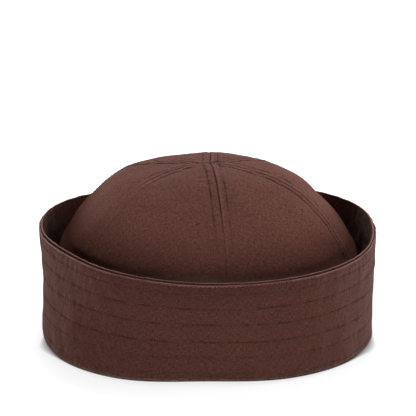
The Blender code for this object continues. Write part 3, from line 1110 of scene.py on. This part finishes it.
# %% [markdown]
# ## Cotton thread
# The thread is as brown as the cloth, and a little smoother because it is spun tight.  Each stitch
# has its own tone, stored by the tree, and it shares the painted value of its groove: painted shade
# makes it darker where it lies deep, and along the edge it is painted paler, partly wear and partly
# a painted highlight.

# %% Thread material
THREAD_COLOUR = (0.086, 0.0327, 0.0241)
LEAST_TONE, TONE_RANGE = 0.85, 0.30
THREAD_GROOVE_SHADE = 0.6  # painted shade: how much darker it is in a full groove
THREAD_ROUGHNESS, THREAD_GLOSS = 0.7, 0.2


def cotton_thread():
    """Material of the thread: each stitch has its own tone."""
    made, start = empty_material("cotton_thread")
    tone, shade_and_wear = start.attribute("tone"), start.attribute("shade_and_wear")
    shade = (LEAST_TONE + tone * TONE_RANGE) * (1 - shade_and_wear * THREAD_GROOVE_SHADE)
    shader = start.node("ShaderNodeBsdfPrincipled", inputs={
        "Base Color": start.scaled(THREAD_COLOUR, shade), "Roughness": THREAD_ROUGHNESS,
        "Specular IOR Level": THREAD_GLOSS})
    return finish_material(made, shader)


thread = cotton_thread()

# %% Sew
step = girth / STITCHES_ROUND
brim_rows = sew("brim_stitches", *outside, step, thread, seed=1)
facing_rows = sew("facing_stitches", *inside_wall, step, thread, seed=2)
crown_rows = sew("crown_stitches", *on_crown, CROWN_STEP, thread, seed=3)

# %% [markdown]
# ## Brown canvas
# The cloth is a plain weave of slightly uneven cotton yarn.  Each yarn goes over one and under the
# next, thick places in it show as short streaks both along and across the cloth, and each stretch of
# yarn took more or less dye.  A photograph of cloth could be laid on, but it has an edge and a
# fixed size.  Formulas on the flat map have neither, and they turn with the cloth of each panel.

# %% Patterns of the weave
YARN_PITCH = 0.00055
Streak = namedtuple("Streak", "length width layer")  # each kind has its own layer of the noise
SLUB = Streak(0.0065, 0.0007, 3.0)  # a thick place in a yarn
YARN = Streak(0.0024, 0.00034, 8.0)  # a stretch of yarn that took more or less dye
FLECK_SIZE = 0.0005
DYE_SIZE = 0.035


def noise(vector, detail):
    """Noise above and below 0, with bumps about one unit of the vector in size."""
    return vector.node("ShaderNodeTexNoise", inputs={
        "Vector": vector, "Scale": 1.0, "Detail": detail}) - 0.5


def cloud(vector, size):
    """Soft patches of about this size."""
    return noise(vector.scaled(vector, 1 / size), detail=2.0)


def streaks(along, across, kind):
    """Stretches of yarn, some that run along the cloth and some across it."""
    length, width, layer = kind
    lying = along.vector(along * (1 / length), across * (1 / width), layer)
    standing = along.vector(along * (1 / width), across * (1 / length), -layer)
    return noise(lying, detail=1.0) + noise(standing, detail=1.0)


def weave(along, across):
    """Height of a plain weave: that of whichever yarn is on top."""
    warp = (along * (math.pi / YARN_PITCH)).sine()
    weft = (across * (math.pi / YARN_PITCH)).sine()
    crossing = warp * weft
    return (warp.size() + crossing).larger(weft.size() - crossing)


print(f"yarns in 10 mm of cloth: {0.01 / YARN_PITCH:.0f}")

# %% [markdown]
# ## Painted shade, light and wear on the canvas
# All of the cap is one brown cloth.  The crown's colour is lighter than the brim's, which paints in
# the stronger light that falls on it.  Shade is painted in by height: on the crown behind the brim,
# down the inside of the wall, and over the middle of the brim's upper half.  Edges and seam crests are
# painted pale, partly wear and partly painted highlight and light.  Grooves and seams are painted
# darker, partly dark joints and partly painted shade, and the fold has painted contact shade.  Each
# of these is either a height on the cap or the value that the mesh carries, so a few numbers for each
# cloth say all of it.  The fuzz, which catches light where the cloth turns away, is the shader's
# sheen.  A shader has one sheen all over, so a second one without it is mixed in where shade is
# painted behind the brim.

# %% Canvas material
YARN_HEIGHT = 0.00009
SLUB_RISE = YARN_RISE = 1.5  # height of a thick or dark stretch of yarn, in times YARN_HEIGHT
SLUB_TONE, YARN_TONE, FLECK_TONE, DYE_TONE = 0.25, 1.6, 0.9, 0.20
GROOVE_SHADE_TONE = 0.55  # painted shade: how much darker the cloth is in a full groove and at the fold's contact
DARKEST = 0.2
ROUGHNESS, FLECK_ROUGHNESS = 0.92, 0.1
GLOSS = 0.05
FUZZ_ROUGHNESS = 0.20
PALE_WEAR_AND_LIGHT = (0.040, 0.0222, 0.0203)  # what a pale mark adds: partly the cotton under rubbed dye, partly painted highlight and light
Canvas = namedtuple("Canvas", "base sheen fuzz cover")  # fuzz: the colour of the sheen
Cover = namedtuple("Cover", "loss start full left right matted")
# Painted shade.  loss: how much darker the colour is painted, from the height start to the height full.
# left and right: how far the two heights rise on the two sides, for each metre from the middle.
# The last field: how much of the sheen the painted shade takes away.


def painted_shade_at(cover, place):
    """Painted shade at each place: nothing at first, then the shading's full darkening."""
    side, _, height = place.parts()
    rise = side.larger(0) * cover.right + (side * -1).larger(0) * cover.left
    return place.node("ShaderNodeMapRange", {"interpolation_type": "SMOOTHSTEP"}, {
        "Value": height - rise, "From Min": cover.start, "From Max": cover.full,
        "To Min": 0.0, "To Max": cover.loss})


def canvas(name, finish):
    """Material of woven cotton."""
    made, start = empty_material(name)
    flat = start.node("ShaderNodeUVMap", {"uv_map": "flat_cloth"})
    place = start.node("ShaderNodeTexCoord", output="Object")
    shade_and_wear = start.attribute("shade_and_wear")
    along, across, _ = flat.parts()
    slubs = streaks(along, across, SLUB)
    yarns = streaks(along, across, YARN)
    flecks = cloud(flat, FLECK_SIZE)
    dye = cloud(place, DYE_SIZE)
    # painted shade by height
    painted_shade = painted_shade_at(finish.cover, place)
    # painted shade above 0, in grooves and at the fold; painted pale wear and light below 0
    groove_shade = shade_and_wear.larger(0)
    wear_and_light = (shade_and_wear * -1).larger(0)

    shade = (1 + slubs * SLUB_TONE + yarns * YARN_TONE + flecks * FLECK_TONE + dye * DYE_TONE
             - groove_shade * GROOVE_SHADE_TONE)
    dyed = start.scaled(finish.base, shade.larger(DARKEST) * (1 - painted_shade))
    pale = start.scaled(PALE_WEAR_AND_LIGHT, wear_and_light)
    tone = start.node("ShaderNodeVectorMath", {"operation": "ADD"}, {0: dyed, 1: pale})
    roughness = ROUGHNESS + flecks * FLECK_ROUGHNESS
    surface = start.node("ShaderNodeBump", inputs={
        "Strength": 1.0, "Distance": YARN_HEIGHT,
        "Height": weave(along, across) + slubs * SLUB_RISE + yarns * YARN_RISE})

    def woven(sheen, gloss):
        return start.node("ShaderNodeBsdfPrincipled", inputs={
            "Base Color": tone, "Roughness": roughness, "Specular IOR Level": gloss,
            "Sheen Weight": sheen, "Sheen Roughness": FUZZ_ROUGHNESS,
            "Sheen Tint": (*finish.fuzz, 1.0), "Normal": surface})

    shader = woven(finish.sheen, GLOSS)
    # where shade is painted, a shader without sheen is mixed in, so the sheen is taken away as painted
    # shade too
    if finish.cover.matted:
        shader = start.node("ShaderNodeMixShader", inputs={
            0: painted_shade * (finish.cover.matted / finish.cover.loss), 1: shader,
            2: woven(sheen=0.0, gloss=0.0)})
    return finish_material(made, shader)


# %% Dye the cloth
BRIM_BROWN = (0.0730, 0.0279, 0.0208)  # colour of the brim's canvas
LIT_CROWN_BROWN = (0.123, 0.0485, 0.0366)  # colour of the crown's, lighter than the brim's: painted light for the stronger light on the crown
BROWN_FUZZ = (1.0, 0.68, 0.60)
PALE_FUZZ = (1.0, 0.82, 0.76)
# Painted shade: over the middle of the brim's upper half, down the inside of the wall, and on the
# crown behind the brim, which reaches higher on the left, where the brim leans in most.
SHADE_ON_BRIM_MIDDLE = Cover(loss=0.22, start=0.040, full=0.060, left=0.16, right=0.12, matted=0.0)
SHADE_INSIDE_WALL = Cover(loss=0.24, start=0.062, full=0.046, left=0.0, right=0.0, matted=0.0)
SHADE_BEHIND_BRIM = Cover(loss=0.50, start=0.082, full=0.052, left=0.12, right=0.06, matted=1.0)
brim_canvas = canvas("brim_canvas", Canvas(BRIM_BROWN, 0.42, BROWN_FUZZ, SHADE_ON_BRIM_MIDDLE))
facing_canvas = canvas("facing_canvas", Canvas(BRIM_BROWN, 0.10, PALE_FUZZ, SHADE_INSIDE_WALL))
crown_canvas = canvas("crown_canvas", Canvas(LIT_CROWN_BROWN, 0.038, PALE_FUZZ, SHADE_BEHIND_BRIM))
brim.data.materials.append(brim_canvas)
facing.data.materials.append(facing_canvas)
for panel in panels:
    panel.data.materials.append(crown_canvas)

# %% [markdown]
# ## The floor
# The photograph's ground is brighter than white paper, and only a thin dark line shows where the
# fold meets it, with a short soft shadow at each side.  A floor that is only lit turns grey round a
# dark cap, so this one shines by itself.  How much is a value on rings of points.  The inner rings
# follow the fold, dark under it and bright a few millimetres out, and further in where the fold
# arches up and lets light through.

# %% Floor
FLOOR_REACH = 6.0
FLOOR_COLUMNS = 180
TOUCH_SHADOW = (0.0029, 0.0042)  # from where the fold touches: dark up to here, bright from here
ARCH_LIGHT = 3.0  # light comes in under the arch this many times its height
SIDE_SHADOWS = (202, 338)  # bearings where the shadow is soft and wide
SIDE_WIDTH = 0.0068
SIDE_INSET = 0.0022  # and how much further in it starts there
SIDE_SPREAD = 8.0  # degrees
SHADOW_STEPS = np.linspace(0, 1, 5)
BRIGHT = 0.80  # how much the floor shines by itself beside the cap
OPEN_FLOOR = ((0.115, 0.84), (0.160, 0.93), (0.300, 1.00), (FLOOR_REACH, 1.00))  # and further out

floor_bearings = np.arange(FLOOR_COLUMNS) * 360 / FLOOR_COLUMNS
# painted shadow: the floor's glow is dark along the fold, and soft and wide at the two sides
touch = brim_value("fold", floor_bearings) - WALL_BEND - ARCH_LIGHT * front_lift(floor_bearings)
soft = sum(bump(floor_bearings - side, SIDE_SPREAD) for side in SIDE_SHADOWS)
dark, bright = TOUCH_SHADOW
width = bright - dark + SIDE_WIDTH * soft
radii = [touch + dark - SIDE_INSET * soft + width * share for share in SHADOW_STEPS]
glows = list(BRIGHT * SHADOW_STEPS)
for radius, glow in OPEN_FLOOR:
    radii.append(radius + 0 * touch)
    glows.append(glow)
rings = np.array([place_at(floor_bearings, radius, 0.0) for radius in radii]) - PLAN_CENTRE
faces = [list(range(FLOOR_COLUMNS))]
for ring in range(len(radii) - 1):
    for column in range(FLOOR_COLUMNS):
        here = ring * FLOOR_COLUMNS + column
        there = ring * FLOOR_COLUMNS + (column + 1) % FLOOR_COLUMNS
        faces.append([here, here + FLOOR_COLUMNS, there + FLOOR_COLUMNS, there])
floor_mesh = new_mesh("floor", rings, faces)
store(floor_mesh, "glow", np.repeat(glows, FLOOR_COLUMNS))
floor = add_object("floor", floor_mesh)
print("faces of the floor:", len(faces))

# %% Floor material
FLOOR_GREY = 0.38  # what it gives back of the lamps' light, where it shines fully
FLOOR_ROUGHNESS = 0.9
white_floor, start = empty_material("white_floor")
glow = start.attribute("glow", output="Color")
# the painted shadow in the glow also darkens the floor's own colour
paper = start.node("ShaderNodeBsdfPrincipled", inputs={
    "Base Color": start.scaled(glow, FLOOR_GREY), "Roughness": FLOOR_ROUGHNESS,
    "Specular IOR Level": 0.0, "Emission Color": glow, "Emission Strength": 1.0})
floor_mesh.materials.append(finish_material(white_floor, paper))

# %% [markdown]
# ## The camera
# The cap is seen from 18 degrees above the table.  The near and the far side of the rim show how
# strongly its size falls off with distance, and that puts the camera 1.2 m away with a long lens.

# %% Camera
CAMERA_ELEVATION = math.radians(18)
CAMERA_DISTANCE = 1.2
CAMERA_LENS = 173.08
LOOK_AT = np.array([0.00152, 0, 0.07429])  # from the crown's axis
look_at = LOOK_AT - PLAN_CENTRE
back_off = np.array([0, -math.cos(CAMERA_ELEVATION), math.sin(CAMERA_ELEVATION)])
camera = add_object("camera", bpy.data.cameras.new("camera"))
camera.location = look_at + CAMERA_DISTANCE * back_off
camera.rotation_euler = (math.pi / 2 - CAMERA_ELEVATION, 0, 0)
camera.data.lens = CAMERA_LENS
bpy.context.scene.camera = camera
seen = CAMERA_DISTANCE * camera.data.sensor_width / CAMERA_LENS
print(f"the picture is {1000 * seen:.0f} mm wide at the cap")

# %% [markdown]
# ## The light
# The photograph has no hard shadow and no highlight, so the light is soft and comes from all round.
# Softboxes above and behind give the crown its bright top and a brim that shades the inside of its
# own wall.  Two low ones light the brim's ends, which are brighter than its middle.  The room's
# white walls reach a little above the horizon.  Higher up it is dark, or the sheen would turn the
# top of the crown grey.

# %% Softboxes
Softbox = namedtuple("Softbox", "name place size power")
SOFTBOXES = (
    Softbox("above_behind", (0.0, 0.95, 1.13), 0.6, 15.5),
    Softbox("behind", (0.0, 1.28, 0.74), 0.6, 12.0),
    Softbox("right", (0.95, 0.0, 1.08), 0.5, 5.4),
    Softbox("low_right", (1.0, -1.0, 0.15), 0.4, 8.6),
    Softbox("low_left", (-1.35, -0.6, 0.15), 0.4, 7.0),
    Softbox("above_front", (0.0, -0.5, 1.37), 0.6, 4.0),
)
AIM = Vector((0, 0, 0.05))  # the point that all of them face
for softbox in SOFTBOXES:
    lamp = bpy.data.lights.new(softbox.name, "AREA")
    lamp.size = softbox.size
    lamp.energy = softbox.power
    lit = add_object(softbox.name, lamp)
    lit.location = softbox.place
    lit.rotation_euler = (Vector(softbox.place) - AIM).to_track_quat("Z", "Y").to_euler()
print(f"softboxes: {len(SOFTBOXES)}, of {sum(softbox.power for softbox in SOFTBOXES):.1f} W in all")

# %% White walls
WALL_FADE = (0.15, 0.20)  # the white ends between these heights, as sines of the angle
world = bpy.data.worlds.new("studio")
world.use_nodes = True
world.node_tree.nodes.clear()
start = Wire(world.node_tree)
_, _, upwards = start.node("ShaderNodeTexCoord", output="Generated").parts()
wall_light = start.node("ShaderNodeMapRange", inputs={
    "Value": upwards, "From Min": WALL_FADE[1], "From Max": WALL_FADE[0],
    "To Min": 0.0, "To Max": 1.0})
studio_wall = start.node("ShaderNodeBackground", inputs={
    "Color": (1, 1, 1, 1), "Strength": wall_light})
start.node("ShaderNodeOutputWorld", inputs={"Surface": studio_wall})
bpy.context.scene.world = world
bpy.context.scene.view_settings.view_transform = "Standard"
print(f"the walls are white up to {math.degrees(math.asin(WALL_FADE[0])):.0f} degrees")

# %% [markdown]
# ## What each piece is
# Nothing on a cap moves by itself, so all pieces ride on its one body.  Each piece of cloth stands
# for the solid of the same piece, which is hidden.  For the brim's two layers the cloth is a strip,
# once round the fold and as wide as the cloth runs.  A panel is cut from a rectangle as wide as it
# is at its foot, and fills only part of it, because it narrows to a point.

# %% Tie the pieces to the frame
for piece in [brim, facing, brim_rows, facing_rows, crown_rows, *panels]:
    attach(piece, "root")
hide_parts("brim_outer")
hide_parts("brim_facing")
for piece, wedge in zip(panels, PANEL_NAMES):
    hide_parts("crown_" + wedge)
print("pieces of cloth:", 2 + len(panels))

# %% Flat size of the brim's strip
print(f"strip for the brim, mm: {1000 * girth:.0f} x {1000 * brim_run:.0f}")
